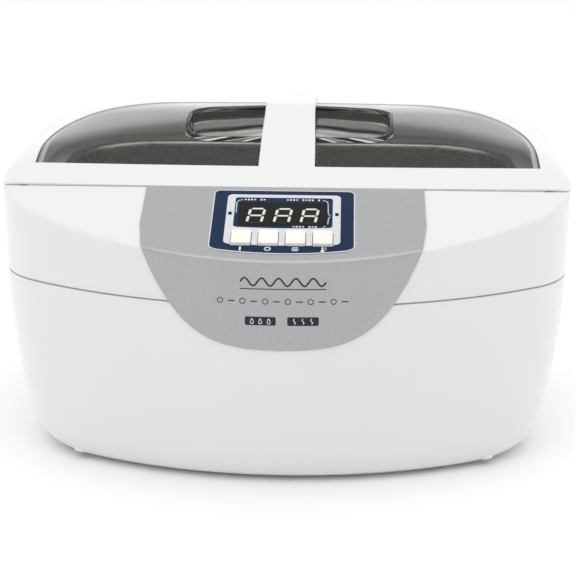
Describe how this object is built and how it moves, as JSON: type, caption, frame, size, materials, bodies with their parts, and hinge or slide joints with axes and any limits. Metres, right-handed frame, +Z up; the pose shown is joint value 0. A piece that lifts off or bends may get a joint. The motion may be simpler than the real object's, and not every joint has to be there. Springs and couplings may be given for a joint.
{
  "type": "ultrasonic cleaner",
  "caption": "Table-top ultrasonic cleaner: a sloping console with display and buttons, a stainless tank, and a hinged lid with a smoked window and a strap handle.",
  "frame": {"origin": "on the table, under the middle of the outer box", "axes": "+X to the right along the longest side, +Y to the back, +Z up; the console faces -Y"},
  "size_m": [0.28, 0.2296, 0.1641],
  "materials": {
    "white_abs": "glossy white moulding",
    "silver_paint": "silver-grey satin panel",
    "label_navy": "printed navy film",
    "lens_black": "smoked display lens",
    "module_black": "black moulding",
    "lamp_red": "tinted lamp",
    "button_cream": "cream satin",
    "board_green": "lacquered board",
    "cable_grey": "grey ribbon",
    "smoked": "smoked clear window",
    "zinc": "bright steel",
    "stainless": "bright stainless sheet",
    "silicone": "grey silicone",
    "alu": "turned aluminium",
    "ceramic": "fired piezo ceramic",
    "brass": "thin sheet",
    "heater": "silicone heater mat",
    "copper": "wound coil and core",
    "relay_blue": "blue case",
    "sleeve": "shrink sleeve",
    "wire_brown": "insulated wire",
    "wire_red": "insulated wire",
    "wire_white": "insulated wire",
    "foot_rubber": "soft black rubber"
  },
  "bodies": {
    "case": {"base_shell": "white_abs", "upper_shell": "white_abs", "fascia": "silver_paint", "control_label": "label_navy", "display_lens": "lens_black", "led_display": "module_black", "indicator_leds": "lamp_red", "tact_switches": "module_black", "display_board": "board_green", "display_ribbon": "cable_grey", "hinge_brackets": "zinc", "hinge_pins": "zinc", "tank": "stainless", "tank_gasket": "silicone", "transducer_heads": "alu", "piezo_rings": "ceramic", "piezo_electrodes": "brass", "transducer_tails": "zinc", "transducer_bolts": "zinc", "heater_pads": "heater", "thermostat": "module_black", "main_board": "board_green", "board_screws": "zinc", "transformer": "copper", "capacitors": "sleeve", "heat_sink": "alu", "power_transistors": "module_black", "relay": "relay_blue", "fuse_holder": "module_black", "fan_frame": "module_black", "fan_screws": "zinc", "power_inlet": "module_black", "inlet_pins": "zinc", "mains_leads": "wire_brown", "transducer_leads": "wire_red", "heater_leads": "wire_white", "rubber_feet": "foot_rubber", "base_screws": "zinc"},
    "lid": {"lid_frame": "white_abs", "lid_window": "smoked", "lid_hinge_leaves": "zinc"},
    "fan_rotor": {"fan_rotor": "module_black"},
    "button_on": {"button_on": "button_cream"},
    "button_off": {"button_off": "button_cream"},
    "button_set": {"button_set": "button_cream"},
    "button_tc": {"button_tc": "button_cream"}
  },
  "joints": [
    {"name": "lid_hinge", "type": "hinge", "parent": "case", "child": "lid", "pos_m": [0, 0.1114, 0.1358], "axis": [-1, 0, 0], "range_deg": [0, 90]},
    {"name": "button_on_press", "type": "slide", "parent": "case", "child": "button_on", "axis": [0, 0.3502, -0.9367], "range_m": [0, 0.0008], "stiffness_N_per_m": 400, "springref_m": -0.0004},
    {"name": "button_off_press", "type": "slide", "parent": "case", "child": "button_off", "axis": [0, 0.3502, -0.9367], "range_m": [0, 0.0008], "stiffness_N_per_m": 400, "springref_m": -0.0004},
    {"name": "button_set_press", "type": "slide", "parent": "case", "child": "button_set", "axis": [0, 0.3502, -0.9367], "range_m": [0, 0.0008], "stiffness_N_per_m": 400, "springref_m": -0.0004},
    {"name": "button_tc_press", "type": "slide", "parent": "case", "child": "button_tc", "axis": [0, 0.3502, -0.9367], "range_m": [0, 0.0008], "stiffness_N_per_m": 400, "springref_m": -0.0004},
    {"name": "fan_spin", "type": "hinge", "parent": "case", "child": "fan_rotor", "pos_m": [-0.07, 0.0925, 0.04], "axis": [0, 1, 0], "continuous": true}
  ]
}
